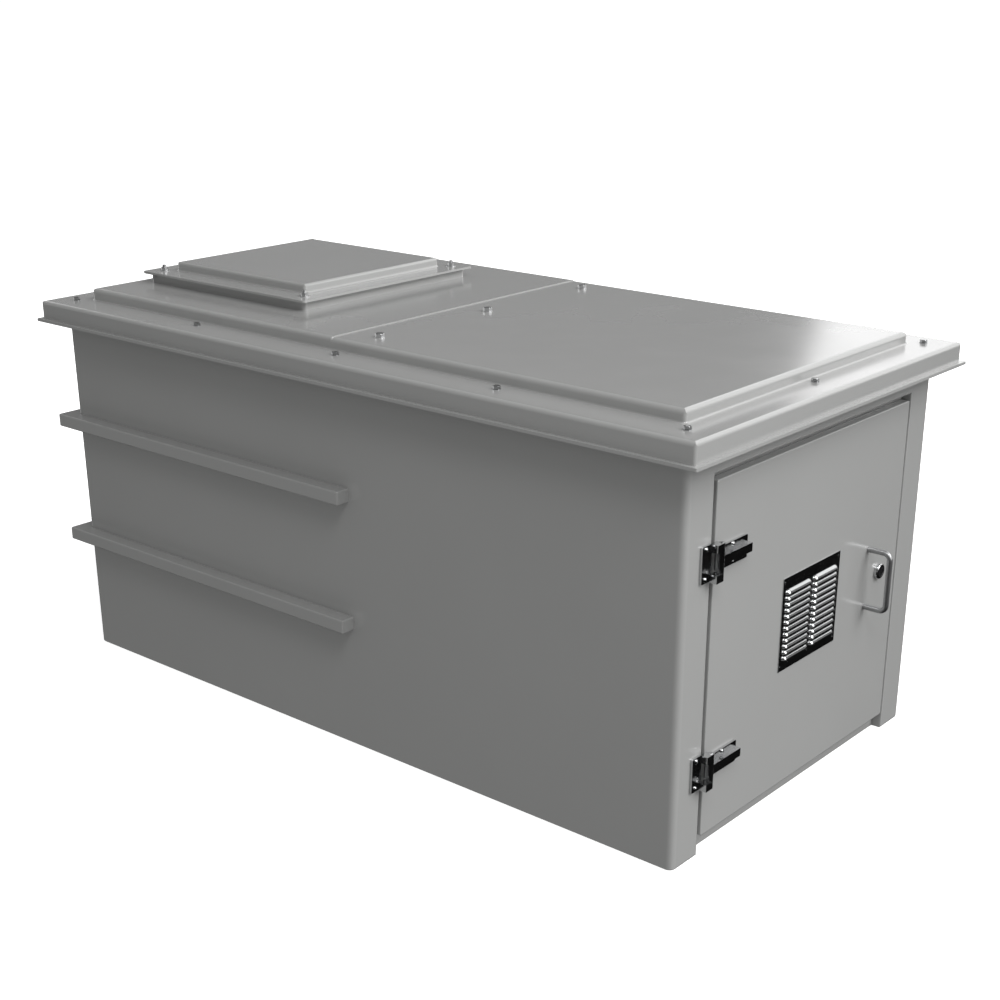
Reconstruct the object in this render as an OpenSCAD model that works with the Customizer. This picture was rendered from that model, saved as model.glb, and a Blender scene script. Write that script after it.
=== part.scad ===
// Roadside utility cabinet: a moulded glass-fibre body, a bolted roof with a hatch and one hinged door.
// X runs across the door, Y from the door to the rear and Z up. The origin is the middle of the base.

/* [Body] */
// Width across the door face
body_w = 884; // [840:2:1200]
// Length from the door face to the rear face
body_l = 1722; // [1500:2:2400]
// Height to the top of the roof flange
body_h = 837; // [780:1:1200]
// Thickness of the moulded body
body_wall = 6; // [4:0.5:8]
// Radius of the upright corners
corner_r = 14; // [12:0.5:20]
// Rounding of the bottom edge
foot_r = 4; // [2:0.5:5]
// Width of the inward flanges at the top and the base
flange_w = 60; // [50:1:80]
// Distance of the floor bolts inside the body's sides
floor_bolt_inset = 32; // [28:0.5:40]
// Distance of the floor bolts from the body's ends
floor_bolt_end = 261; // [200:0.5:400]
// Diameter of the floor bolt holes
floor_hole_d = 14; // [10:0.5:18]

/* [Door opening] */
// Width of the jamb on the hinge side
hinge_jamb_w = 83.5; // [75:0.5:110]
// Width of the jamb on the lock side
lock_jamb_w = 81.5; // [75:0.5:140]
// Height of the header above the door recess
header_h = 81; // [70:1:120]
// Height of the bottom of the door above the ground
door_bottom = 36.5; // [20:0.5:60]
// Gap beside the door on the hinge side
hinge_gap = 10; // [6:0.5:14]
// Gap beside the door on the lock side
lock_gap = 5; // [4:0.5:8]
// Gap above the door
top_gap = 14; // [6:0.5:20]
// Rounding of the edge round the door recess
jamb_edge_r = 3; // [2:0.5:5]
// Depth of the door recess
recess_d = 22; // [21:0.5:26]
// Overlap of the door on the stop behind it
stop_overlap = 30; // [24:1:36]

/* [Roof] */
// Distance that the roof lip stands out past the body
roof_overhang = 50; // [40:1:60]
// Width of the lip outside the roof wall
lip_w = 10; // [6:0.5:14]
// Thickness of the lip
lip_t = 6; // [5:0.5:8]
// Distance from the top of the body down to the underside of the lip
roof_drop = 37; // [30:1:60]
// Thickness of the moulded roof
roof_skin = 5; // [4:0.5:6]
// Rounding of the top edge of the roof wall
roof_edge_r = 8; // [7:0.5:12]
// Plan radius of the lip's corners
lip_corner_r = 3; // [2:0.5:8]
// Plan radius of the roof corners
roof_corner_r = 6; // [5:0.5:10]
// Width of the ledge at each side of the raised panel
ledge_side_w = 85; // [76:1:110]
// Width of the ledge at each end of the raised panel
ledge_end_w = 80; // [74:1:110]
// Height of the raised panel
panel_h = 24; // [16:1:40]
// Rounding of the top edge of the raised panel
panel_edge_r = 10; // [7:0.5:12]
// Plan radius of the raised panel's corners
panel_corner_r = 7; // [6:0.5:20]
// Height of the step across the raised panel
step_h = 2; // [1:0.25:3]
// Distance of the step behind the middle of the roof
step_y = 41; // [0:1:80]
// Radius of the hollow at the foot of the raised panel
panel_cove_r = 4; // [2:0.5:5]
// Distance of the roof bolts inside the body face
roof_bolt_inset = 17; // [15.5:0.5:20]
// Thickness of the roof seal
roof_seal_t = 4; // [3:0.5:6]

/* [Roof beam] */
// Height of the cross beam under the roof
beam_h = 30; // [20:1:40]
// Width of the cross beam
beam_w = 40; // [30:1:60]
// Wall of the cross beam
beam_wall = 3; // [2:0.25:4]
// Distance of the cross beam in front of the middle of the roof
beam_front = 32.5; // [28:0.5:60]
// Distance of the outer beam bolts inside the ends of the beam
beam_bolt_inset = 47; // [30:0.5:100]

/* [Hatch] */
// Width and length of the hatch cover's flange
hatch_w = 544; // [450:2:600]
// Distance from the hatch cover to the rear edge of the raised panel
hatch_rear_gap = 27; // [20:1:60]
// Height of the hatch upstand above the roof
upstand_h = 16; // [14:0.5:30]
// Distance of the upstand inside the edge of the cover
upstand_inset = 13; // [8:0.5:20]
// Width of the inward flange on top of the upstand
upstand_flange_w = 46; // [40:0.5:50]
// Thickness of the hatch seal
hatch_seal_t = 4; // [3:0.5:6]
// Distance of the raised pan inside the edge of the cover
pan_inset = 57; // [54:0.5:70]
// Height of the raised pan on the cover
pan_h = 20; // [14:0.5:30]
// Rounding of the top edge of the pan
pan_edge_r = 6.5; // [6.5:0.5:9]
// Distance of the hatch nuts inside the edge of the cover
hatch_nut_inset = 36; // [34:0.5:38]

/* [Rails] */
// Distance of a rail's front ends ahead of the middle of the body
rail_front = 39; // [0:1:300]
// Distance that a rail stands out from the body
rail_d = 32; // [25:1:50]
// Height of a rail
rail_h = 29.5; // [20:0.5:45]
// Height of the middle of the upper rail
upper_rail_z = 565.5; // [450:0.5:680]
// Height of the middle of the lower rail
lower_rail_z = 284.5; // [120:0.5:400]
// Rounding of a rail's outer edges
rail_edge_r = 3; // [2:0.5:6]

/* [Door] */
// Thickness of the door
door_t = 18; // [16:0.5:19]
// Thickness of the door skin
door_skin = 5; // [4:0.5:6]
// Width of the door's turned-in edge
door_edge_w = 14; // [12:0.5:18]
// Rounding of the door's front edge
door_edge_r = 2.5; // [2:0.5:5]
// Distance of each hinge from the nearer end of the door
hinge_inset = 146; // [100:1:200]

/* [Hinges] */
// Distance of the hinge axis outside the edge of the door
hinge_side = 1.5; // [0:0.25:4]
// Distance of the hinge axis in front of the door face
hinge_stand = 15; // [13:0.5:18]
// Radius of the hinge knuckles
knuckle_r = 6.5; // [6:0.25:8]
// Radius of the hinge pin
pin_r = 3; // [2.5:0.25:3.5]
// Height of the whole hinge barrel
barrel_h = 72; // [66:1:90]
// Height of each end knuckle
end_knuckle_h = 15; // [12:0.5:16]
// Thickness of the washers between the knuckles
hinge_washer_t = 1.6; // [1:0.1:2.5]
// Thickness of the leaves
leaf_t = 5; // [4:0.25:6]
// Height of the frame leaf
frame_leaf_h = 70; // [68:1:80]
// Width of the frame leaf from its outer edge to the hinge axis
frame_leaf_w = 44; // [42:0.5:50]
// Width of the door leaf from the hinge axis to its outer edge
door_leaf_w = 102; // [90:1:130]
// Height of the door leaf's arm
arm_h = 44.5; // [44:0.5:50]
// Height of the rib along the door leaf
rib_h = 17; // [12:0.5:21]
// Distance that the rib stands out from the leaf
rib_d = 11; // [8:0.5:16]
// Spacing of the frame leaf's bolts
frame_bolt_spacing = 56; // [50:0.5:57]
// Spacing of the door leaf's bolts
door_bolt_spacing = 33; // [32:0.5:33]

/* [Vent] */
// Width of the vent plate
vent_w = 213; // [212:1:260]
// Height of the vent plate
vent_h = 194; // [186:1:240]
// Thickness of the vent plate
vent_t = 1.5; // [1:0.1:2]
// Number of louvres in each column
louvre_rows = 12; // [4:1:12]
// Distance from one louvre to the next
louvre_pitch = 12.5; // [12:0.1:13]
// Height of a louvre at the plate
louvre_h = 11; // [8:0.5:11.5]
// Distance that a louvre stands out from the plate
louvre_out = 7; // [4:0.5:8]
// Length of a louvre between the centres of its rounded ends
louvre_l = 71; // [40:1:71]
// Width of the land between the two columns
column_land = 8; // [6:0.5:9]
// Distance of the louvres below the middle of the plate
louvre_low = 2; // [0:0.5:4]

/* [Handle and lock] */
// Distance between the handle's feet
handle_span = 126; // [96:1:160]
// Distance that the handle stands out from the door
handle_out = 56; // [45:1:70]
// Diameter of the handle bar
handle_d = 12; // [10:0.5:16]
// Radius of the handle's bends at the middle of the bar
handle_bend_r = 14; // [12:0.5:20]
// Distance of the handle from the lock edge of the door
handle_inset = 125; // [115:1:160]
// Height of the handle's middle above the middle of the door
handle_rise = 3; // [0:0.5:20]
// Distance of the lock from the lock edge of the door
lock_inset = 76.5; // [74:0.5:90]
// Height of the lock above the middle of the door
lock_rise = 5; // [0:0.5:20]
// Diameter of the lock's collar
lock_collar_d = 33; // [31:0.5:36]
// Distance that the collar stands out from the door
lock_collar_out = 9; // [8:0.5:12]
// Diameter of the lock's threaded body
lock_body_d = 22; // [20:0.5:24]
// Diameter of the turning plug
plug_d = 16; // [14:0.5:17]
// Diameter of the plug's face
plug_face_d = 22; // [20:0.5:24]
// Length of the cam from the lock axis to its tip
cam_l = 66; // [62:0.5:72]
// Width of the cam
cam_w = 18; // [16:0.5:20]
// Thickness of the cam
cam_t = 3; // [2:0.25:4]
// Thickness of the strike plate
strike_t = 2; // [1.5:0.25:3]

/* [Hidden] */
$fn = 64;

// Colours
gelcoat = "#9c9d9b";
steel = "#c9cbcd";
dark_plug = "#17181a";
seal_black = "#2a2b2d";

// Overrun of every cut, and the depth to which joined forms run into each other
cut = 2;
weld = 0.5;
// Smallest radius on the inside of a moulding
least_r = 1;

// Clearances
thread_fit = 0.05;
running_fit = 0.05;
hole_clear = 0.5;
face_clear = 0.3;
washer_clear = 0.2;
cam_clear = 1;

// Metric fastener sizes: shank diameter, width across flats, head height, nut height, washer diameter
// and washer thickness
m10 = [10, 17, 6.4, 8.4, 20, 2];
m8 = [8, 13, 5.3, 6.8, 16, 1.6];
m6 = [6, 10, 4, 5.2, 12, 1.6];
m5 = [5, 8, 3.5, 4.7, 10, 1];
function shank_r(size) = size[0] / 2;
function flats(size) = size[1];
function head_h(size) = size[2];
function nut_h(size) = size[3];
function washer_r(size) = size[4] / 2;
function washer_t(size) = size[5];
function hole_r(size) = shank_r(size) + hole_clear;
// Length of shank that shows past a nut, and the gap past the end of a screw in a blind bore
thread_end = 2;
screw_end_gap = 2;
// Domed heads: extra radius of a bolt's head, and the socket's share of the width
dome_over = 0.5;
dome_socket_share = 0.4;

// Body heights and faces
front_y = -body_l / 2;
rear_y = body_l / 2;
flange_t = body_wall;
floor_bolt_x = body_w / 2 - floor_bolt_inset;
floor_bolt_y = body_l / 2 - floor_bolt_end;

// Door recess and door outline
recess_x0 = -body_w / 2 + hinge_jamb_w;
recess_x1 = body_w / 2 - lock_jamb_w;
recess_top = body_h - header_h;
door_x0 = recess_x0 + hinge_gap;
door_x1 = recess_x1 - lock_gap;
door_z0 = door_bottom;
door_z1 = recess_top - top_gap;
door_w = door_x1 - door_x0;
door_h = door_z1 - door_z0;
door_x = (door_x0 + door_x1) / 2;
door_z = (door_z0 + door_z1) / 2;
door_back_y = front_y + door_t;
stop_y = front_y + recess_d;
stop_inner_y = stop_y + body_wall;
door_corner_r = 2 * door_edge_r;

// Seal round the door
door_seal_w = 10;
door_seal_inset = 2;
door_seal_t = recess_d - door_t - face_clear;

// Roof levels and outlines
lip_z = body_h - roof_drop;
ledge_z = body_h + roof_seal_t + roof_skin;
panel_z = ledge_z + panel_h;
rear_panel_z = panel_z + step_h;
roof_w = body_w + 2 * (roof_overhang - lip_w);
roof_l = body_l + 2 * (roof_overhang - lip_w);
panel_w = roof_w - 2 * ledge_side_w;
panel_l = roof_l - 2 * ledge_end_w;
roof_bolt_x = body_w / 2 - roof_bolt_inset;
roof_bolt_y = body_l / 2 - roof_bolt_inset;
end_bolt_gap = 7;
end_bolt_y = panel_l / 2 + panel_cove_r + washer_r(m8) + end_bolt_gap;
// Places of the roof bolts along each side, as shares of half the bolt length
side_bolt_shares = [-1, -0.5, 0, 0.5, 1];
roof_bolt_places = concat(
    [for (side = [-1, 1], share = side_bolt_shares) [side * roof_bolt_x, share * roof_bolt_y]],
    [for (end = [-1, 1]) [0, end * end_bolt_y]]
);
roof_grip = roof_skin + roof_seal_t + flange_t;
roof_seal_w = 36;
roof_seal_inset = 6;
beam_top_z = panel_z - roof_skin;
beam_grip = roof_skin + beam_wall;
beam_end_gap = 14;
beam_l = panel_w - 2 * (roof_skin + beam_end_gap);
beam_bolt_x = beam_l / 2 - beam_bolt_inset;
beam_places = [for (side = [-1, 0, 1]) [side * beam_bolt_x, -beam_front]];

// Set-in of the rails' inner corner radius, which leaves them clear of the body's corners
rail_ease = 2;

// Hatch levels and outlines
hatch_y = panel_l / 2 - hatch_rear_gap - hatch_w / 2;
upstand_w = hatch_w - 2 * upstand_inset;
upstand_top_z = rear_panel_z + upstand_h;
hatch_hole_w = upstand_w - 2 * upstand_flange_w;
cover_z = upstand_top_z + hatch_seal_t;
cover_t = roof_skin;
pan_w = hatch_w - 2 * pan_inset;
cover_corner_r = 8;
upstand_corner_r = 10;
pan_corner_r = 7;
pan_cove_r = 5;
hatch_seal_w = 40;
hatch_grip = roof_skin + hatch_seal_t + cover_t + washer_t(m8);
hatch_washer_r = 11;
stud_end = 5;
hatch_bolt_pitch = hatch_w - 2 * hatch_nut_inset;
hatch_places = [
    for (sx = [-1, 1], sy = [-1, 1])
        [sx * hatch_bolt_pitch / 2, hatch_y + sy * hatch_bolt_pitch / 2]
];

// Hinges
hinge_x = door_x0 - hinge_side;
hinge_y = front_y - hinge_stand;
upper_hinge_z = door_z1 - hinge_inset;
lower_hinge_z = door_z0 + hinge_inset;
middle_knuckle_h = barrel_h - 2 * (end_knuckle_h + hinge_washer_t + 2 * washer_clear);
pin_head_over = 1.5;
pin_head_r = pin_r + pin_head_over;
pin_head_h = 2;
pin_tail = 2;
frame_leaf_x0 = hinge_x - frame_leaf_w;
frame_plate_gap = 14;
frame_plate_w = frame_leaf_w - frame_plate_gap;
frame_bolt_inset = 11;
frame_bolt_x = frame_leaf_x0 + frame_bolt_inset;
leaf_root_gap = 2;
door_leaf_x0 = hinge_x + leaf_root_gap;
door_leaf_x1 = hinge_x + door_leaf_w;
// Place of the door leaf's bolts along its arm
door_bolt_share = 0.51;
door_bolt_x = door_leaf_x0 + (door_leaf_x1 - door_leaf_x0) * door_bolt_share;
leaf_corner_r = 3;

// Vent
louvre_wall = 1.2;
louvre_c = (louvre_h * louvre_h - louvre_out * louvre_out) / (2 * louvre_out);
louvre_r = louvre_c + louvre_out;
column_x = (louvre_l + 2 * louvre_h + column_land) / 2;
field_h = louvre_pitch * (louvre_rows - 1) + louvre_h;
field_w = 2 * column_x + louvre_l + 2 * louvre_h;
vent_z = door_z;
field_z = vent_z - louvre_low;
vent_hole_margin = 2;
rivet_r = 1.6;
rivet_head_r = 2.6;
rivet_head_h = 0.7;
rivet_inset_x = 6;
rivet_inset_z = 9;

// Handle
handle_x = door_x1 - handle_inset;
handle_z = door_z + handle_rise;
handle_r = handle_d / 2;
handle_reach = handle_out - handle_r;
handle_screw_depth = 14;

// Lock
lock_x = door_x1 - lock_inset;
lock_z = door_z + lock_rise;
cam_y = stop_inner_y + strike_t + cam_clear;
lock_rear_gap = 1;
lock_rear_y = cam_y - lock_rear_gap;
collar_edge_r = 4;
plug_face_t = 3;
plug_recess = 0.6;
key_slot_w = 1.6;
key_slot_l = 9;
key_slot_d = 1.4;
lock_nut_flats = 30;
lock_nut_t = 5;
tang_r = 5;
cam_screw_depth = 12;
cam_washer_over = 2;

// Strike
strike_w = 34;
strike_h = 96;
strike_edge_gap = 2;
strike_x0 = door_x1 - stop_overlap + strike_edge_gap;
strike_rivet_inset = 8;
strike_rivet_x = strike_x0 + strike_rivet_inset;
strike_rivet_z = 36;
strike_rivet_r = 2;
strike_rivet_head_r = 4;
strike_rivet_dome = 1.2;

// Plan shapes
module round_rect(w, l, r) {
    square([w - 2 * r, l], center = true);
    square([w, l - 2 * r], center = true);
    for (sx = [-1, 1], sy = [-1, 1])
        translate([sx * (w / 2 - r), sy * (l / 2 - r)]) circle(r);
}

// A profile swept round the outline of a rounded rectangle, with its own x pointing outwards
module sweep_outline(w, l, r) {
    for (k = [0:3]) {
        reach = k % 2 == 0 ? l / 2 : w / 2;
        run = (k % 2 == 0 ? w : l) - 2 * r;
        rotate([0, 0, 90 * k]) translate([0, reach, 0])
            rotate([90, 0, 90]) linear_extrude(run, center = true) children();
    }
    corners = [[1, 1], [-1, 1], [-1, -1], [1, -1]];
    for (k = [0:3])
        translate([corners[k][0] * (w / 2 - r), corners[k][1] * (l / 2 - r), 0])
            rotate([0, 0, 90 * k]) rotate_extrude(angle = 90) translate([r, 0]) children();
}

module round_profile(r) {
    difference() {
        translate([-r, -r]) square(r + cut);
        translate([-r, -r]) circle(r);
    }
}

module cove_profile(r) {
    difference() {
        translate([-weld, -weld]) square(r + weld);
        translate([r, r]) circle(r);
    }
}

// A block with rounded plan corners and a rounded top edge, standing on z = 0
module crowned_block(w, l, h, plan_r, edge_r) {
    difference() {
        linear_extrude(h) round_rect(w, l, plan_r);
        translate([0, 0, h]) sweep_outline(w, l, plan_r) round_profile(edge_r);
    }
}

// The same with the top edge's rounding mitred at corners of a smaller plan radius
module mitred_block(w, l, h, plan_r, edge_r) {
    difference() {
        linear_extrude(h) round_rect(w, l, plan_r);
        for (k = [0:3]) {
            reach = k % 2 == 0 ? l / 2 : w / 2;
            run = (k % 2 == 0 ? w : l) + 2 * cut;
            rotate([0, 0, 90 * k]) translate([0, reach, h])
                rotate([90, 0, 90]) linear_extrude(run, center = true) round_profile(edge_r);
        }
    }
}

module ring(outer_r, inner_r, h) {
    difference() {
        cylinder(r = outer_r, h = h);
        translate([0, 0, -cut]) cylinder(r = inner_r, h = h + 2 * cut);
    }
}

// Fasteners stand on z = 0 with the shank running down
module hex_prism(af, h) {
    cylinder(r = af / sqrt(3), h = h, $fn = 6);
}

module hex_head(size) {
    chamfer = flats(size) / sqrt(3) - flats(size) / 2;
    intersection() {
        hex_prism(flats(size), head_h(size));
        union() {
            cylinder(r = flats(size) / sqrt(3), h = head_h(size) - chamfer);
            translate([0, 0, head_h(size) - chamfer])
                cylinder(r1 = flats(size) / sqrt(3), r2 = flats(size) / 2, h = chamfer);
        }
    }
}

module shank(size, length) {
    translate([0, 0, -length]) cylinder(r = shank_r(size), h = length + weld);
}

module hex_bolt(size, length) {
    hex_head(size);
    shank(size, length);
}

// A low domed head with a hexagon socket
module dome_head(r, h, socket_af) {
    dome_r = (r * r + h * h) / (2 * h);
    difference() {
        intersection() {
            translate([0, 0, h - dome_r]) sphere(r = dome_r);
            cylinder(r = r, h = h);
        }
        if (socket_af > 0)
            translate([0, 0, h / 2]) hex_prism(socket_af, h);
    }
}

module dome_bolt(size, length) {
    dome_head(flats(size) / 2 + dome_over, head_h(size), flats(size) * dome_socket_share);
    shank(size, length);
}

module nut(size) {
    difference() {
        hex_prism(flats(size), nut_h(size));
        translate([0, 0, -cut]) cylinder(r = shank_r(size) + thread_fit, h = nut_h(size) + 2 * cut);
    }
}

module washer(size) {
    ring(washer_r(size), shank_r(size) + thread_fit, washer_t(size));
}

// Turns a fastener so that its head faces the front
module facing_front() {
    rotate([90, 0, 0]) children();
}

module facing_rear() {
    rotate([-90, 0, 0]) children();
}

// The body shell, with the block of material round the door recess
module recess_block() {
    width = recess_x1 - recess_x0 + 2 * body_wall;
    translate([recess_x0 - body_wall, front_y - cut, -cut])
        cube([width, recess_d + body_wall + cut, recess_top + body_wall + cut]);
}

// The recess in plan, x across and y into the body, and from the side, x into the body and y up
module recess_plan() {
    width = recess_x1 - recess_x0;
    translate([recess_x0, -cut]) square([width, recess_d + cut]);
    difference() {
        translate([recess_x0 - jamb_edge_r, -cut]) square([width + 2 * jamb_edge_r, jamb_edge_r + cut]);
        for (x = [recess_x0 - jamb_edge_r, recess_x1 + jamb_edge_r])
            translate([x, jamb_edge_r]) circle(jamb_edge_r);
    }
}

module recess_side() {
    translate([-2 * cut, -2 * cut]) square([recess_d + 3 * cut, recess_top + 2 * cut]);
    difference() {
        translate([-2 * cut, recess_top - weld]) square([jamb_edge_r + 2 * cut, jamb_edge_r + weld]);
        translate([jamb_edge_r, recess_top + jamb_edge_r]) circle(jamb_edge_r);
    }
}

module recess_cut() {
    intersection() {
        translate([0, front_y, -cut]) linear_extrude(recess_top + jamb_edge_r + 2 * cut) recess_plan();
        translate([0, front_y, 0]) rotate([90, 0, 90]) linear_extrude(body_w, center = true) recess_side();
    }
}

module body_outer() {
    difference() {
        linear_extrude(body_h) round_rect(body_w, body_l, corner_r);
        mirror([0, 0, 1]) sweep_outline(body_w, body_l, corner_r) round_profile(foot_r);
    }
}

module body_cavity() {
    difference() {
        translate([0, 0, flange_t])
            linear_extrude(body_h - 2 * flange_t)
                round_rect(body_w - 2 * body_wall, body_l - 2 * body_wall, corner_r - body_wall);
        recess_block();
    }
}

module flange_openings() {
    opening_w = body_w - 2 * flange_w;
    opening_l = body_l - 2 * flange_w;
    base_l = opening_l - recess_d - body_wall;
    translate([0, 0, body_h - flange_t - cut]) linear_extrude(flange_t + 2 * cut)
        round_rect(opening_w, opening_l, corner_r / 2);
    translate([0, (recess_d + body_wall) / 2, -cut]) linear_extrude(flange_t + 2 * cut)
        round_rect(opening_w, base_l, corner_r / 2);
}

module door_aperture() {
    translate([door_x0 + stop_overlap, stop_y - cut, door_z0 + stop_overlap])
        cube([door_w - 2 * stop_overlap, body_wall + 2 * cut, door_h - 2 * stop_overlap]);
}

module frame_bolt_places() {
    for (z = [upper_hinge_z, lower_hinge_z], s = [-1, 1])
        translate([frame_bolt_x, front_y, z + s * frame_bolt_spacing / 2]) children();
}

module strike_rivet_places() {
    for (s = [-1, 1]) translate([strike_rivet_x, 0, lock_z + s * strike_rivet_z]) children();
}

module body_shell() {
    color(gelcoat) difference() {
        body_outer();
        body_cavity();
        flange_openings();
        recess_cut();
        door_aperture();
        for (sx = [-1, 1], sy = [-1, 1])
            translate([sx * floor_bolt_x, sy * floor_bolt_y, -cut])
                cylinder(d = floor_hole_d, h = flange_t + 2 * cut);
        for (place = roof_bolt_places)
            translate([place[0], place[1], body_h - flange_t - cut])
                cylinder(r = hole_r(m8), h = flange_t + 2 * cut);
        frame_bolt_places() translate([0, -cut, 0]) facing_rear()
            cylinder(r = hole_r(m6), h = body_wall + 2 * cut);
        strike_rivet_places() translate([0, stop_y - cut, 0]) facing_rear()
            cylinder(r = strike_rivet_r + thread_fit, h = body_wall + 2 * cut);
    }
}

// The roof
function inner_r(r, shrink) = max(r - shrink, least_r);

module panel_block(shrink, h) {
    mitred_block(panel_w - 2 * shrink, panel_l - 2 * shrink, h, inner_r(panel_corner_r, shrink),
        inner_r(panel_edge_r, shrink));
}

module roof_form(shrink, drop) {
    translate([0, 0, lip_z - drop]) {
        mitred_block(roof_w - 2 * shrink, roof_l - 2 * shrink, ledge_z - lip_z,
            inner_r(roof_corner_r, shrink), inner_r(roof_edge_r, shrink));
        panel_block(shrink, panel_z - lip_z);
    }
}

// The rear part of the raised panel, which stands higher behind the step
module rear_panel() {
    intersection() {
        translate([0, 0, ledge_z]) panel_block(0, rear_panel_z - ledge_z);
        translate([-panel_w, step_y, ledge_z]) cube([2 * panel_w, panel_l, 2 * panel_h]);
    }
}

module roof_lip() {
    translate([0, 0, lip_z]) linear_extrude(lip_t)
        round_rect(roof_w + 2 * lip_w, roof_l + 2 * lip_w, lip_corner_r);
}

module upstand() {
    translate([0, hatch_y, panel_z - weld])
        linear_extrude(upstand_top_z - panel_z + weld) round_rect(upstand_w, upstand_w, upstand_corner_r);
}

module hatch_hollow() {
    inner_w = upstand_w - 2 * roof_skin;
    translate([0, hatch_y, panel_z - roof_skin - cut])
        linear_extrude(upstand_top_z - panel_z + cut)
            round_rect(inner_w, inner_w, upstand_corner_r - roof_skin);
    translate([0, hatch_y, panel_z - roof_skin - cut])
        linear_extrude(upstand_top_z - panel_z + roof_skin + 2 * cut)
            round_rect(hatch_hole_w, hatch_hole_w, upstand_corner_r);
}

module roof() {
    color(gelcoat) difference() {
        union() {
            roof_form(0, 0);
            roof_lip();
            rear_panel();
            upstand();
            translate([0, 0, ledge_z])
                sweep_outline(panel_w, panel_l, panel_corner_r) cove_profile(panel_cove_r);
        }
        roof_form(roof_skin, roof_skin);
        hatch_hollow();
        for (place = roof_bolt_places)
            translate([place[0], place[1], ledge_z - roof_skin - cut])
                cylinder(r = hole_r(m8), h = roof_skin + 2 * cut);
        for (place = beam_places)
            translate([place[0], place[1], panel_z - roof_skin - cut])
                cylinder(r = hole_r(m10), h = roof_skin + 2 * cut);
        for (place = hatch_places)
            translate([place[0], place[1], upstand_top_z - roof_skin - cut])
                cylinder(r = hole_r(m8), h = roof_skin + 2 * cut);
    }
}

module roof_seal() {
    w = body_w - 2 * roof_seal_inset;
    l = body_l - 2 * roof_seal_inset;
    r = corner_r - roof_seal_inset;
    color(seal_black) translate([0, 0, body_h]) difference() {
        linear_extrude(roof_seal_t) round_rect(w, l, r);
        translate([0, 0, -cut]) linear_extrude(roof_seal_t + 2 * cut)
            round_rect(w - 2 * roof_seal_w, l - 2 * roof_seal_w, r / 2);
        for (place = roof_bolt_places)
            translate([place[0], place[1], -cut]) cylinder(r = hole_r(m8), h = roof_seal_t + 2 * cut);
    }
}

// Fasteners through the ledge
module roof_bolts() {
    length = washer_t(m8) + roof_grip + nut_h(m8) + thread_end;
    color(steel) for (place = roof_bolt_places)
        translate([place[0], place[1], ledge_z + washer_t(m8)]) hex_bolt(m8, length);
}

module roof_washers() {
    color(steel) for (place = roof_bolt_places) translate([place[0], place[1], ledge_z]) washer(m8);
}

module roof_nuts() {
    color(steel) for (place = roof_bolt_places)
        translate([place[0], place[1], ledge_z - roof_grip - nut_h(m8)]) nut(m8);
}

// The cross beam and its bolts
module roof_beam() {
    color(steel) translate([0, -beam_front, beam_top_z - beam_h]) difference() {
        translate([-beam_l / 2, -beam_w / 2, 0]) cube([beam_l, beam_w, beam_h]);
        translate([-beam_l / 2 - cut, -beam_w / 2 + beam_wall, -cut])
            cube([beam_l + 2 * cut, beam_w - 2 * beam_wall, beam_h - beam_wall + cut]);
        for (side = [-1, 0, 1])
            translate([side * beam_bolt_x, 0, beam_h - beam_wall - cut])
                cylinder(r = hole_r(m10), h = beam_wall + 2 * cut);
    }
}

module beam_bolts() {
    length = washer_t(m10) + beam_grip + nut_h(m10) + thread_end;
    color(steel) for (place = beam_places)
        translate([place[0], place[1], panel_z + washer_t(m10)]) hex_bolt(m10, length);
}

module beam_washers() {
    color(steel) for (place = beam_places) translate([place[0], place[1], panel_z]) washer(m10);
}

module beam_nuts() {
    color(steel) for (place = beam_places)
        translate([place[0], place[1], panel_z - beam_grip - nut_h(m10)]) nut(m10);
}

// The hatch
module hatch_cover() {
    inner_w = pan_w - 2 * roof_skin;
    color(gelcoat) translate([0, hatch_y, cover_z]) difference() {
        union() {
            linear_extrude(cover_t) round_rect(hatch_w, hatch_w, cover_corner_r);
            mitred_block(pan_w, pan_w, cover_t + pan_h, pan_corner_r, pan_edge_r);
            translate([0, 0, cover_t]) sweep_outline(pan_w, pan_w, pan_corner_r) cove_profile(pan_cove_r);
        }
        translate([0, 0, -roof_skin])
            mitred_block(inner_w, inner_w, cover_t + pan_h, inner_r(pan_corner_r, roof_skin),
                inner_r(pan_edge_r, roof_skin));
        for (place = hatch_places)
            translate([place[0], place[1] - hatch_y, -cut]) cylinder(r = hole_r(m8), h = cover_t + 2 * cut);
    }
}

module hatch_seal() {
    inner_w = upstand_w - 2 * hatch_seal_w;
    color(seal_black) translate([0, hatch_y, upstand_top_z]) difference() {
        linear_extrude(hatch_seal_t) round_rect(upstand_w, upstand_w, upstand_corner_r);
        translate([0, 0, -cut]) linear_extrude(hatch_seal_t + 2 * cut)
            round_rect(inner_w, inner_w, upstand_corner_r);
        for (place = hatch_places)
            translate([place[0], place[1] - hatch_y, -cut])
                cylinder(r = hole_r(m8), h = hatch_seal_t + 2 * cut);
    }
}

module hatch_studs() {
    color(steel) for (place = hatch_places)
        translate([place[0], place[1], upstand_top_z - roof_skin]) {
            mirror([0, 0, 1]) hex_head(m8);
            cylinder(r = shank_r(m8), h = hatch_grip + nut_h(m8) + stud_end);
        }
}

module hatch_washers() {
    color(steel) for (place = hatch_places) translate([place[0], place[1], cover_z + cover_t])
        ring(hatch_washer_r, shank_r(m8) + thread_fit, washer_t(m8));
}

module hatch_nuts() {
    color(steel) for (place = hatch_places)
        translate([place[0], place[1], cover_z + cover_t + washer_t(m8)]) nut(m8);
}

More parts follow.
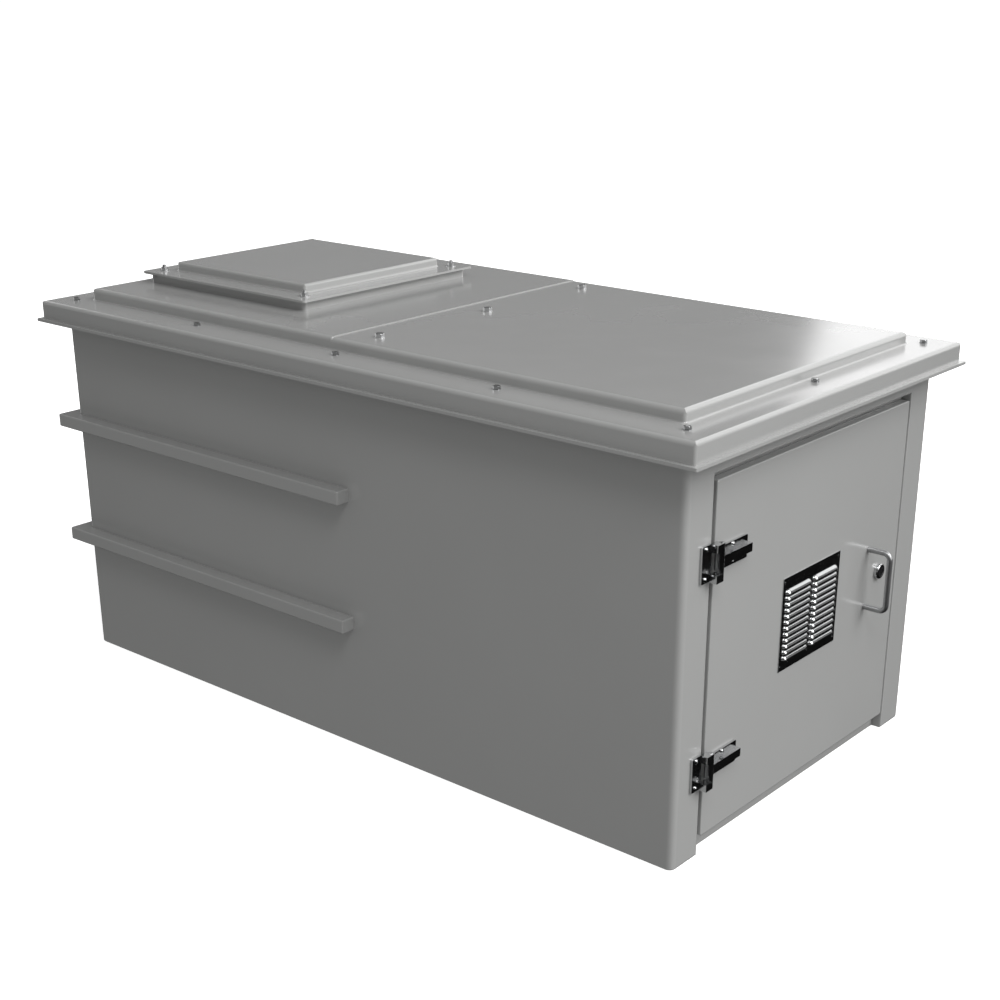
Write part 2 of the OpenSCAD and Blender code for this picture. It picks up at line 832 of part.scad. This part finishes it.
// The rails, which run along both sides and round the rear
module rail(z) {
    w = body_w + 2 * rail_d;
    l = rear_y + rail_d + rail_front;
    color(gelcoat) translate([0, 0, z]) difference() {
        translate([0, rear_y + rail_d - l / 2, 0]) difference() {
            linear_extrude(rail_h, center = true) round_rect(w, l, rail_edge_r);
            for (s = [0, 1]) mirror([0, 0, s]) translate([0, 0, rail_h / 2])
                sweep_outline(w, l, rail_edge_r) round_profile(rail_edge_r);
        }
        linear_extrude(2 * rail_h, center = true) round_rect(body_w, body_l, corner_r - rail_ease);
    }
}

module upper_rail() {
    rail(upper_rail_z);
}

module lower_rail() {
    rail(lower_rail_z);
}

// The seal behind the door
module door_seal() {
    w = door_w - 2 * door_seal_inset;
    h = door_h - 2 * door_seal_inset;
    color(seal_black) translate([door_x, stop_y, door_z]) facing_front() difference() {
        linear_extrude(door_seal_t) round_rect(w, h, door_corner_r);
        translate([0, 0, -cut]) linear_extrude(door_seal_t + 2 * cut)
            round_rect(w - 2 * door_seal_w, h - 2 * door_seal_w, door_corner_r);
    }
}

// The hinges, each drawn about its own middle on the hinge axis
module at_hinge(z) {
    translate([hinge_x, hinge_y, z]) children();
}

module knuckle_bore() {
    translate([0, 0, -barrel_h]) cylinder(r = pin_r + running_fit, h = 2 * barrel_h);
}

module frame_leaf() {
    end_z = barrel_h / 2 - end_knuckle_h;
    ear_back = hinge_stand - leaf_t;
    color(steel) difference() {
        union() {
            translate([-frame_leaf_w + frame_plate_w / 2, hinge_stand, 0]) facing_front()
                linear_extrude(leaf_t) round_rect(frame_plate_w, frame_leaf_h, leaf_corner_r);
            for (s = [0, 1]) mirror([0, 0, s]) translate([0, 0, end_z]) {
                cylinder(r = knuckle_r, h = end_knuckle_h);
                translate([-frame_plate_gap - knuckle_r, -knuckle_r, 0])
                    cube([frame_plate_gap + knuckle_r, knuckle_r + ear_back + weld, end_knuckle_h]);
            }
        }
        knuckle_bore();
        for (s = [-1, 1])
            translate([frame_bolt_x - hinge_x, hinge_stand + cut, s * frame_bolt_spacing / 2])
                facing_front() cylinder(r = hole_r(m6), h = leaf_t + 2 * cut);
    }
}

module upper_frame_leaf() {
    at_hinge(upper_hinge_z) frame_leaf();
}

module lower_frame_leaf() {
    at_hinge(lower_hinge_z) frame_leaf();
}

module hinge_pin() {
    color(steel) {
        translate([0, 0, -barrel_h / 2 - pin_tail]) cylinder(r = pin_r, h = barrel_h + pin_tail + weld);
        translate([0, 0, barrel_h / 2]) dome_head(pin_head_r, pin_head_h, 0);
    }
}

module upper_hinge_pin() {
    at_hinge(upper_hinge_z) hinge_pin();
}

module lower_hinge_pin() {
    at_hinge(lower_hinge_z) hinge_pin();
}

module hinge_washers() {
    washer_z = middle_knuckle_h / 2 + washer_clear;
    color(steel) for (z = [upper_hinge_z, lower_hinge_z], s = [0, 1])
        at_hinge(z) mirror([0, 0, s]) translate([0, 0, washer_z])
            ring(knuckle_r, pin_r + running_fit, hinge_washer_t);
}

module frame_leaf_bolts() {
    length = leaf_t + body_wall + nut_h(m6) + thread_end;
    color(steel) frame_bolt_places() translate([0, -leaf_t, 0]) facing_front() dome_bolt(m6, length);
}

module frame_leaf_nuts() {
    color(steel) frame_bolt_places() translate([0, body_wall, 0]) facing_rear() nut(m6);
}

module door_leaf() {
    run = door_leaf_w - leaf_root_gap;
    rib_front = hinge_stand - leaf_t - rib_d;
    color(steel) difference() {
        union() {
            translate([leaf_root_gap + run / 2, hinge_stand, 0]) facing_front()
                linear_extrude(leaf_t) round_rect(run, arm_h, leaf_corner_r);
            cylinder(r = knuckle_r, h = middle_knuckle_h, center = true);
            translate([0, 0, -middle_knuckle_h / 2])
                cube([leaf_t, hinge_stand - leaf_t + weld, middle_knuckle_h]);
            translate([0, rib_front, -rib_h / 2]) cube([door_leaf_w, rib_d + weld, rib_h]);
        }
        knuckle_bore();
        for (s = [-1, 1])
            translate([door_bolt_x - hinge_x, hinge_stand + cut, s * door_bolt_spacing / 2])
                facing_front() cylinder(r = hole_r(m6), h = leaf_t + 2 * cut);
    }
}

module upper_door_leaf() {
    at_hinge(upper_hinge_z) door_leaf();
}

module lower_door_leaf() {
    at_hinge(lower_hinge_z) door_leaf();
}

module door_bolt_places() {
    for (z = [upper_hinge_z, lower_hinge_z], s = [-1, 1])
        translate([door_bolt_x, front_y, z + s * door_bolt_spacing / 2]) children();
}

module door_leaf_bolts() {
    length = leaf_t + door_skin + nut_h(m6) + thread_end;
    color(steel) door_bolt_places() translate([0, -leaf_t, 0]) facing_front() dome_bolt(m6, length);
}

module door_leaf_nuts() {
    color(steel) door_bolt_places() translate([0, door_skin, 0]) facing_rear() nut(m6);
}

// The strike behind the lock-side stop
module strike_plate() {
    color(steel) difference() {
        translate([strike_x0, stop_inner_y, lock_z - strike_h / 2]) cube([strike_w, strike_t, strike_h]);
        strike_rivet_places() translate([0, stop_inner_y - cut, 0]) facing_rear()
            cylinder(r = strike_rivet_r + thread_fit, h = strike_t + 2 * cut);
        strike_rivet_places() translate([0, stop_inner_y, 0]) facing_rear()
            cylinder(r1 = strike_rivet_r + thread_fit, r2 = strike_rivet_head_r + thread_fit, h = strike_t);
    }
}

module strike_rivets() {
    color(steel) strike_rivet_places() {
        translate([0, stop_y - weld, 0]) facing_rear()
            cylinder(r = strike_rivet_r, h = body_wall + strike_t + weld);
        translate([0, stop_inner_y + thread_fit, 0]) facing_rear()
            cylinder(r1 = strike_rivet_r, r2 = strike_rivet_head_r, h = strike_t - thread_fit);
        translate([0, stop_y, 0]) facing_front() dome_head(strike_rivet_head_r, strike_rivet_dome, 0);
    }
}

// The door
module vent_opening() {
    w = field_w + 2 * vent_hole_margin;
    h = field_h + 2 * vent_hole_margin;
    translate([door_x - w / 2, front_y - cut, field_z - h / 2]) cube([w, door_t + 2 * cut, h]);
}

module vent_rivet_places() {
    for (sx = [-1, 1], sz = [-1, 1])
        translate([
            door_x + sx * (vent_w / 2 - rivet_inset_x), front_y,
            vent_z + sz * (vent_h / 2 - rivet_inset_z)
        ]) children();
}

module handle_foot_places() {
    for (s = [-1, 1]) translate([handle_x, front_y, handle_z + s * handle_span / 2]) children();
}

module skin_hole(r) {
    translate([0, -cut, 0]) facing_rear() cylinder(r = r, h = door_skin + 2 * cut);
}

module door_panel() {
    color(gelcoat) difference() {
        translate([door_x, door_back_y, door_z]) facing_front()
            crowned_block(door_w, door_h, door_t, door_corner_r, door_edge_r);
        translate([door_x0 + door_edge_w, front_y + door_skin, door_z0 + door_edge_w])
            cube([door_w - 2 * door_edge_w, door_t, door_h - 2 * door_edge_w]);
        vent_opening();
        vent_rivet_places() skin_hole(rivet_r + thread_fit);
        door_bolt_places() skin_hole(hole_r(m6));
        handle_foot_places() skin_hole(hole_r(m6));
        translate([lock_x, front_y, lock_z]) skin_hole(lock_body_d / 2 + face_clear);
    }
}

// The louvred vent, drawn with x across, y up and z out of the door
module louvre_bulge(r) {
    rotate([0, 90, 0]) cylinder(r = r, h = louvre_l, center = true);
    for (s = [-1, 1]) translate([s * louvre_l / 2, 0, 0]) sphere(r = r);
}

module louvre_half(base) {
    translate([-louvre_l, 0, base]) cube([2 * louvre_l, 2 * louvre_r, 2 * louvre_r]);
}

module louvre_hood() {
    difference() {
        intersection() {
            translate([0, 0, -louvre_c]) louvre_bulge(louvre_r);
            louvre_half(-weld);
        }
        translate([0, 0, -louvre_c]) louvre_bulge(louvre_r - louvre_wall);
    }
}

module louvre_slot() {
    intersection() {
        translate([0, 0, -louvre_c]) louvre_bulge(louvre_r - louvre_wall);
        louvre_half(-vent_t - cut);
    }
}

module louvre_places() {
    for (s = [-1, 1], row = [0:louvre_rows - 1])
        translate([s * column_x, -louvre_low - field_h / 2 + row * louvre_pitch, 0]) children();
}

module vent_grille() {
    color(steel) translate([door_x, front_y, vent_z]) facing_front() translate([0, 0, vent_t]) {
        difference() {
            translate([0, 0, -vent_t]) linear_extrude(vent_t) difference() {
                square([vent_w, vent_h], center = true);
                for (sx = [-1, 1], sy = [-1, 1])
                    translate([sx * (vent_w / 2 - rivet_inset_x), sy * (vent_h / 2 - rivet_inset_z)])
                        circle(rivet_r + thread_fit);
            }
            louvre_places() louvre_slot();
        }
        louvre_places() louvre_hood();
    }
}

module vent_rivets() {
    color(steel) vent_rivet_places() {
        translate([0, -vent_t, 0]) facing_front() dome_head(rivet_head_r, rivet_head_h, 0);
        translate([0, -vent_t - weld, 0]) facing_rear() cylinder(r = rivet_r, h = vent_t + door_skin + weld);
        translate([0, door_skin, 0]) facing_rear() dome_head(rivet_head_r, rivet_head_h, 0);
    }
}

// The pull handle, a round bar with two bends
module pull_handle() {
    straight = handle_span - 2 * handle_bend_r;
    leg = handle_reach - handle_bend_r;
    color(steel) difference() {
        union() {
            for (s = [0, 1]) translate([handle_x, front_y, handle_z]) mirror([0, 0, s]) {
                translate([0, 0, handle_span / 2]) facing_front() cylinder(r = handle_r, h = leg);
                translate([0, -leg, straight / 2]) rotate([90, 0, -90]) rotate_extrude(angle = 90)
                    translate([handle_bend_r, 0]) circle(handle_r);
            }
            translate([handle_x, front_y - handle_reach, handle_z])
                cylinder(r = handle_r, h = straight, center = true);
        }
        handle_foot_places() translate([0, cut, 0]) facing_front()
            cylinder(r = shank_r(m6) + thread_fit, h = handle_screw_depth + cut);
    }
}

module handle_screws() {
    length = door_skin + washer_t(m6) + handle_screw_depth - screw_end_gap;
    color(steel) handle_foot_places() translate([0, door_skin + washer_t(m6), 0])
        facing_rear() hex_bolt(m6, length);
}

module handle_washers() {
    color(steel) handle_foot_places() translate([0, door_skin, 0]) facing_rear() washer(m6);
}

// The lock, drawn with z along the lock axis towards the front and z = 0 on the door face
module at_lock() {
    translate([lock_x, front_y, lock_z]) facing_front() children();
}

module lock_housing() {
    collar_r = lock_collar_d / 2;
    rear = lock_rear_y - front_y;
    color(steel) at_lock() difference() {
        union() {
            rotate_extrude() {
                square([collar_r, lock_collar_out - collar_edge_r]);
                square([collar_r - collar_edge_r, lock_collar_out]);
                translate([collar_r - collar_edge_r, lock_collar_out - collar_edge_r]) circle(collar_edge_r);
            }
            translate([0, 0, -rear]) cylinder(d = lock_body_d, h = rear + weld);
        }
        translate([0, 0, -rear - cut])
            cylinder(r = plug_d / 2 + running_fit, h = rear + lock_collar_out + 2 * cut);
        translate([0, 0, lock_collar_out - plug_face_t - plug_recess])
            cylinder(r = plug_face_d / 2 + face_clear, h = plug_face_t + plug_recess + cut);
    }
}

module lock_nut() {
    color(steel) at_lock() translate([0, 0, -door_skin - lock_nut_t]) difference() {
        hex_prism(lock_nut_flats, lock_nut_t);
        translate([0, 0, -cut]) cylinder(r = lock_body_d / 2 + thread_fit, h = lock_nut_t + 2 * cut);
    }
}

module lock_plug() {
    face_z = lock_collar_out - plug_recess;
    shaft_end = cam_y - front_y - washer_clear;
    tang_end = cam_y - front_y + cam_t;
    color(dark_plug) at_lock() difference() {
        union() {
            translate([0, 0, face_z - plug_face_t + washer_clear])
                cylinder(d = plug_face_d, h = plug_face_t - washer_clear);
            translate([0, 0, -shaft_end]) cylinder(d = plug_d, h = shaft_end + face_z - weld);
            translate([0, 0, -tang_end]) cylinder(r = tang_r, h = tang_end);
        }
        translate([-key_slot_w / 2, -key_slot_l / 2, face_z - key_slot_d])
            cube([key_slot_w, key_slot_l, key_slot_d + cut]);
        translate([0, 0, -tang_end - cut]) cylinder(r = shank_r(m5) + thread_fit, h = cam_screw_depth + cut);
    }
}

module lock_cam() {
    cam_r = cam_w / 2;
    tip = cam_l - cam_r;
    color(steel) at_lock() translate([0, 0, front_y - cam_y - cam_t]) difference() {
        linear_extrude(cam_t) union() {
            circle(cam_r);
            translate([-cam_r, -tip]) square([cam_w, tip]);
            translate([0, -tip]) circle(cam_r);
        }
        translate([0, 0, -cut]) cylinder(r = tang_r + thread_fit, h = cam_t + 2 * cut);
    }
}

module cam_screw() {
    length = cam_screw_depth - screw_end_gap;
    color(steel) at_lock() translate([0, 0, front_y - cam_y - cam_t]) mirror([0, 0, 1]) {
        ring(washer_r(m5) + cam_washer_over, shank_r(m5) - weld, washer_t(m5));
        translate([0, 0, washer_t(m5)]) hex_bolt(m5, length + washer_t(m5));
    }
}

body_shell();
roof();
roof_seal();
roof_bolts();
roof_washers();
roof_nuts();
roof_beam();
beam_bolts();
beam_washers();
beam_nuts();
hatch_cover();
hatch_seal();
hatch_studs();
hatch_washers();
hatch_nuts();
upper_rail();
lower_rail();
door_seal();
upper_frame_leaf();
lower_frame_leaf();
upper_hinge_pin();
lower_hinge_pin();
hinge_washers();
frame_leaf_bolts();
frame_leaf_nuts();
strike_plate();
strike_rivets();
door_panel();
upper_door_leaf();
lower_door_leaf();
door_leaf_bolts();
door_leaf_nuts();
vent_grille();
vent_rivets();
pull_handle();
handle_screws();
handle_washers();
lock_housing();
lock_nut();
lock_plug();
lock_cam();
cam_screw();
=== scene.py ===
import math
import bpy
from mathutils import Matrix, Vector

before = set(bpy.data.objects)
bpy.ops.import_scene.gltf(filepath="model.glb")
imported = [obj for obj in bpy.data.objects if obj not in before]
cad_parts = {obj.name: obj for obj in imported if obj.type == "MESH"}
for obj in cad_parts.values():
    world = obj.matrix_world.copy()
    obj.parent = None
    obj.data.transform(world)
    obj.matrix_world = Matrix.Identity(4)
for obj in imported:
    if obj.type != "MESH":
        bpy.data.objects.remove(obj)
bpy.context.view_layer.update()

print("frame loaded:", len(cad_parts), "nodes")

# Camera: the view of the photograph, in metres and degrees
cameraSettings = {
    "place": (-2.6625, -2.3427, 1.6002),
    "yaw": 49.934,
    "pitch": 22.569,
    "lens": 59.144,
    "sensor": 36.0,
    "shift": (-0.0128, 0.1265),
    "reach": 50.0,
}


def addCamera(settings):
    data = bpy.data.cameras.new("photoCamera")
    data.lens = settings["lens"]
    data.sensor_width = settings["sensor"]
    data.shift_x, data.shift_y = settings["shift"]
    data.clip_end = settings["reach"]
    camera = bpy.data.objects.new("photoCamera", data)
    camera.location = settings["place"]
    camera.rotation_euler = (math.radians(90 - settings["pitch"]), 0, math.radians(-settings["yaw"]))
    bpy.context.scene.collection.objects.link(camera)
    bpy.context.scene.camera = camera


addCamera(cameraSettings)

# Studio: a pale floor, an even world and soft lights
floorSettings = {"size": 60.0, "tone": 0.85, "glow": 0.7}
worldSettings = {  # brightness by height: 0 straight down, 0.5 the horizon, 1 straight up
    "fill": [(0.25, 0.55), (0.75, 0.33)],
    "mirror": [(0.49, 0.006), (0.52, 0.33), (0.585, 0.21), (0.66, 0.065)],
    "seen": 1.3,
}
lightSettings = {
    "rightBox": {"kind": "AREA", "place": (4.9, -0.89, 3.2), "aim": (0.2, -0.86, 0.9),
                 "size": (6.28, 3.6), "power": 93},
    "highSun": {"kind": "SUN", "place": (1.2, -4.0, 4.4), "aim": (0, 0, 0.4), "angle": 40, "power": 1.96},
    "leftBox": {"kind": "AREA", "place": (-2.0, -2.5, 4.3), "aim": (-0.3, -0.3, 0.6),
                "size": (1.6, 1.6), "power": 66},
    "frontSun": {"kind": "SUN", "place": (1.5, -5.0, 2.6), "aim": (0, 0, 0.4), "angle": 40, "power": 0.72},
    "rearSun": {"kind": "SUN", "place": (1.0, 5.0, 1.6), "aim": (0, 0, 0.4), "angle": 40, "power": 0.35},
}


def setNodes(owner):
    owner.use_nodes = True
    tree = owner.node_tree
    tree.nodes.clear()
    return tree


def addRamp(tree, height, stops):
    ramp = tree.nodes.new("ShaderNodeValToRGB")
    points = ramp.color_ramp.elements
    while len(points) < len(stops):
        points.new(stops[-1][0])
    for point, (place, value) in zip(points, stops):
        point.position = place
        point.color = (value, value, value, 1)
    back = tree.nodes.new("ShaderNodeBackground")
    tree.links.new(height, ramp.inputs["Fac"])
    tree.links.new(ramp.outputs["Color"], back.inputs["Color"])
    return back.outputs["Background"]


def mixShaders(tree, factor, first, second):
    mix = tree.nodes.new("ShaderNodeMixShader")
    for socket, source in zip(mix.inputs, (factor, first, second)):
        tree.links.new(source, socket)
    return mix.outputs["Shader"]


def addWorld(settings):
    world = bpy.data.worlds.new("studioWorld")
    bpy.context.scene.world = world
    tree = setNodes(world)
    coords = tree.nodes.new("ShaderNodeTexCoord")
    parts = tree.nodes.new("ShaderNodeSeparateXYZ")
    height = tree.nodes.new("ShaderNodeMapRange")
    height.inputs["From Min"].default_value = -1.0
    tree.links.new(coords.outputs["Generated"], parts.inputs["Vector"])
    tree.links.new(parts.outputs["Z"], height.inputs["Value"])
    fill = addRamp(tree, height.outputs["Result"], settings["fill"])
    mirror = addRamp(tree, height.outputs["Result"], settings["mirror"])
    seen = tree.nodes.new("ShaderNodeBackground")
    seen.inputs["Strength"].default_value = settings["seen"]
    path = tree.nodes.new("ShaderNodeLightPath")
    # Reflections see a darker ground than the soft fill, and the camera sees plain white
    around = mixShaders(tree, path.outputs["Is Glossy Ray"], fill, mirror)
    shown = mixShaders(tree, path.outputs["Is Camera Ray"], around, seen.outputs["Background"])
    out = tree.nodes.new("ShaderNodeOutputWorld")
    tree.links.new(shown, out.inputs["Surface"])


def addLights(lights):
    for name, spec in lights.items():
        data = bpy.data.lights.new(name, spec["kind"])
        data.energy = spec["power"]
        if spec["kind"] == "SUN":
            data.angle = math.radians(spec["angle"])
        else:
            data.shape = "RECTANGLE"
            data.size, data.size_y = spec["size"]
        lamp = bpy.data.objects.new(name, data)
        lamp.location = spec["place"]
        aim = Vector(spec["aim"]) - Vector(spec["place"])
        lamp.rotation_euler = aim.to_track_quat("-Z", "Y").to_euler()
        bpy.context.scene.collection.objects.link(lamp)


def addFloor(settings):
    half = settings["size"] / 2
    corners = [(-half, -half, 0), (half, -half, 0), (half, half, 0), (-half, half, 0)]
    mesh = bpy.data.meshes.new("studioFloor")
    mesh.from_pydata(corners, [], [(0, 1, 2, 3)])
    floor = bpy.data.objects.new("studioFloor", mesh)
    bpy.context.scene.collection.objects.link(floor)
    material = bpy.data.materials.new("paleFloor")
    tree = setNodes(material)
    shader = tree.nodes.new("ShaderNodeBsdfDiffuse")
    shader.inputs["Color"].default_value = (*[settings["tone"]] * 3, 1)
    glow = tree.nodes.new("ShaderNodeEmission")
    glow.inputs["Strength"].default_value = settings["glow"]
    both = tree.nodes.new("ShaderNodeAddShader")
    out = tree.nodes.new("ShaderNodeOutputMaterial")
    tree.links.new(shader.outputs["BSDF"], both.inputs[0])
    tree.links.new(glow.outputs["Emission"], both.inputs[1])
    tree.links.new(both.outputs["Shader"], out.inputs["Surface"])
    mesh.materials.append(material)
    floor.visible_glossy = False
    floor.visible_diffuse = False


addWorld(worldSettings)
addLights(lightSettings)
addFloor(floorSettings)
bpy.context.scene.view_settings.view_transform = "Standard"
print("studio ready")


# Finishes
def newGroup(name, inputs, outputs):
    group = bpy.data.node_groups.new(name, "ShaderNodeTree")
    for label, kind, value in inputs:
        socket = group.interface.new_socket(label, in_out="INPUT", socket_type=kind)
        socket.default_value = value
    for label in outputs:
        group.interface.new_socket(label, in_out="OUTPUT", socket_type="NodeSocketFloat")
    return group, group.nodes.new("NodeGroupInput"), group.nodes.new("NodeGroupOutput")


# Shared effect: soft mottling, fine ripple and smears of a moulded or rubbed surface
mouldedSettings = {
    "Mottle": {"size": 3.0, "detail": 4},
    "Ripple": {"size": 180.0, "detail": 2},
    "Smear": {"size": 9.0, "detail": 6},
}


def mouldedGroup(settings):
    sizes = [(label + " Size", "NodeSocketFloat", spec["size"]) for label, spec in settings.items()]
    group, inside, outside = newGroup("mouldedSurface", sizes, settings)
    coords = group.nodes.new("ShaderNodeTexCoord")
    for label, spec in settings.items():
        noise = group.nodes.new("ShaderNodeTexNoise")
        noise.inputs["Detail"].default_value = spec["detail"]
        group.links.new(coords.outputs["Object"], noise.inputs["Vector"])
        group.links.new(inside.outputs[label + " Size"], noise.inputs["Scale"])
        group.links.new(noise.outputs["Fac"], outside.inputs[label])
    return group


# Shared effect: fine lines left by rolling or brushing, drawn out along one axis
brushedSettings = {"spread": (900.0, 900.0, 12.0), "patchSize": 30.0, "lineDetail": 3, "patchDetail": 4}


def brushedGroup(settings):
    group, inside, outside = newGroup(
        "brushedLines",
        [("Spread", "NodeSocketVector", settings["spread"]),
         ("Patch Size", "NodeSocketFloat", settings["patchSize"])],
        ["Lines", "Patches"])
    coords = group.nodes.new("ShaderNodeTexCoord")
    stretch = group.nodes.new("ShaderNodeVectorMath")
    stretch.operation = "MULTIPLY"
    group.links.new(coords.outputs["Object"], stretch.inputs[0])
    group.links.new(inside.outputs["Spread"], stretch.inputs[1])
    lines = group.nodes.new("ShaderNodeTexNoise")
    lines.inputs["Scale"].default_value = 1.0  # the spread already sets the size
    lines.inputs["Detail"].default_value = settings["lineDetail"]
    group.links.new(stretch.outputs["Vector"], lines.inputs["Vector"])
    group.links.new(lines.outputs["Fac"], outside.inputs["Lines"])
    patches = group.nodes.new("ShaderNodeTexNoise")
    patches.inputs["Detail"].default_value = settings["patchDetail"]
    group.links.new(coords.outputs["Object"], patches.inputs["Vector"])
    group.links.new(inside.outputs["Patch Size"], patches.inputs["Scale"])
    group.links.new(patches.outputs["Fac"], outside.inputs["Patches"])
    return group


mouldedSurface = mouldedGroup(mouldedSettings)
brushedLines = brushedGroup(brushedSettings)
noiseRange = (0.3, 0.7)  # most of a noise pattern lies between these


def startMaterial(name, group, values):
    material = bpy.data.materials.new(name)
    tree = setNodes(material)
    shader = tree.nodes.new("ShaderNodeBsdfPrincipled")
    out = tree.nodes.new("ShaderNodeOutputMaterial")
    tree.links.new(shader.outputs["BSDF"], out.inputs["Surface"])
    effect = tree.nodes.new("ShaderNodeGroup")
    effect.node_tree = group
    for label, value in values.items():
        effect.inputs[label].default_value = value
    return material, tree, shader, effect


def mixColours(tree, factor, dark, light, socket):
    mix = tree.nodes.new("ShaderNodeMix")
    mix.data_type = "RGBA"
    mix.inputs["A"].default_value = (*dark, 1)
    mix.inputs["B"].default_value = (*light, 1)
    tree.links.new(factor, mix.inputs["Factor"])
    tree.links.new(mix.outputs["Result"], socket)


def spreadValue(tree, factor, low, high, socket):
    spread = tree.nodes.new("ShaderNodeMapRange")
    for label, value in zip(("From Min", "From Max", "To Min", "To Max"), (*noiseRange, low, high)):
        spread.inputs[label].default_value = value
    tree.links.new(factor, spread.inputs["Value"])
    tree.links.new(spread.outputs["Result"], socket)


def addBump(tree, height, strength, depth, shader):
    bump = tree.nodes.new("ShaderNodeBump")
    bump.inputs["Strength"].default_value = strength
    bump.inputs["Distance"].default_value = depth
    tree.links.new(height, bump.inputs["Height"])
    tree.links.new(bump.outputs["Normal"], shader.inputs["Normal"])


# Grey gelcoat of the body, roof, hatch, rails and door
gelcoatSettings = {
    "dark": (0.352, 0.354, 0.349),
    "light": (0.372, 0.374, 0.369),
    "gloss": (0.16, 0.24),
    "coat": 1.0,
    "coatRough": 0.16,
    "ripple": 0.012,
    "rippleDepth": 0.0004,
    "sizes": {"Mottle Size": 4.0, "Ripple Size": 160.0},
}


def gelcoatFinish(spec):
    material, tree, shader, effect = startMaterial("gelcoat", mouldedSurface, spec["sizes"])
    mixColours(tree, effect.outputs["Mottle"], spec["dark"], spec["light"], shader.inputs["Base Color"])
    spreadValue(tree, effect.outputs["Smear"], *spec["gloss"], shader.inputs["Roughness"])
    addBump(tree, effect.outputs["Ripple"], spec["ripple"], spec["rippleDepth"], shader)
    shader.inputs["Coat Weight"].default_value = spec["coat"]
    shader.inputs["Coat Roughness"].default_value = spec["coatRough"]
    return material


# Bare metals of the hinges, vent, handle, lock, beam and fasteners
metalSettings = {
    "polishedSteel": {"dark": (0.52, 0.525, 0.53), "light": (0.66, 0.665, 0.67), "gloss": (0.10, 0.18),
                      "spread": (14.0, 500.0, 500.0), "relief": 0.02},
    "satinSteel": {"dark": (0.48, 0.485, 0.49), "light": (0.62, 0.625, 0.63), "gloss": (0.26, 0.38),
                   "spread": (900.0, 900.0, 14.0), "relief": 0.05},
    "brushedSteel": {"dark": (0.40, 0.405, 0.41), "light": (0.52, 0.525, 0.53), "gloss": (0.40, 0.50),
                     "spread": (900.0, 900.0, 14.0), "relief": 0.05},
    "zincFastener": {"dark": (0.62, 0.625, 0.63), "light": (0.76, 0.765, 0.77), "gloss": (0.28, 0.38),
                     "spread": (700.0, 700.0, 160.0), "relief": 0.03},
    "brightFastener": {"dark": (0.36, 0.365, 0.37), "light": (0.48, 0.485, 0.49), "gloss": (0.12, 0.20),
                       "spread": (700.0, 700.0, 160.0), "relief": 0.03},
    "millAluminium": {"dark": (0.52, 0.525, 0.53), "light": (0.64, 0.645, 0.65), "gloss": (0.32, 0.46),
                      "spread": (8.0, 600.0, 600.0), "relief": 0.06},
}
reliefDepth = 0.0001


def metalFinish(name, spec):
    material, tree, shader, effect = startMaterial(name, brushedLines, {"Spread": spec["spread"]})
    mixColours(tree, effect.outputs["Lines"], spec["dark"], spec["light"], shader.inputs["Base Color"])
    spreadValue(tree, effect.outputs["Patches"], *spec["gloss"], shader.inputs["Roughness"])
    addBump(tree, effect.outputs["Lines"], spec["relief"], reliefDepth, shader)
    shader.inputs["Metallic"].default_value = 1.0
    return material


# Black rubber of the seals and the black face of the lock plug
darkSettings = {
    "sealRubber": {"dark": (0.018, 0.018, 0.019), "light": (0.034, 0.034, 0.035), "gloss": (0.55, 0.75),
                   "ripple": 0.2},
    "blackPlug": {"dark": (0.008, 0.008, 0.009), "light": (0.015, 0.015, 0.016), "gloss": (0.25, 0.40),
                  "ripple": 0.06},
}
darkSizes = {"Mottle Size": 60.0, "Ripple Size": 900.0, "Smear Size": 120.0}
darkRippleDepth = 0.0002


def darkFinish(name, spec):
    material, tree, shader, effect = startMaterial(name, mouldedSurface, darkSizes)
    mixColours(tree, effect.outputs["Mottle"], spec["dark"], spec["light"], shader.inputs["Base Color"])
    spreadValue(tree, effect.outputs["Smear"], *spec["gloss"], shader.inputs["Roughness"])
    addBump(tree, effect.outputs["Ripple"], spec["ripple"], darkRippleDepth, shader)
    return material


finishes = {"gelcoat": gelcoatFinish(gelcoatSettings)}
for name, spec in metalSettings.items():
    finishes[name] = metalFinish(name, spec)
for name, spec in darkSettings.items():
    finishes[name] = darkFinish(name, spec)

# Which node wears which finish; every node not named here is a bright fastener
nodeFinish = {
    "gelcoat": ["body_shell", "roof", "hatch_cover", "upper_rail", "lower_rail", "door_panel"],
    "polishedSteel": ["upper_frame_leaf", "lower_frame_leaf", "upper_door_leaf", "lower_door_leaf",
                      "vent_grille", "lock_housing"],
    "satinSteel": ["strike_plate", "lock_cam", "lock_nut"],
    "brushedSteel": ["pull_handle"],
    "zincFastener": ["beam_bolts", "beam_washers", "hatch_studs", "hatch_washers", "hatch_nuts"],
    "millAluminium": ["roof_beam"],
    "sealRubber": ["roof_seal", "hatch_seal", "door_seal"],
    "blackPlug": ["lock_plug"],
}
chosen = {node: finish for finish, nodes in nodeFinish.items() for node in nodes}
for name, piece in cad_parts.items():
    piece.data.materials.clear()
    piece.data.materials.append(finishes[chosen.get(name, "brightFastener")])
print("finishes on", len(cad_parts), "nodes")
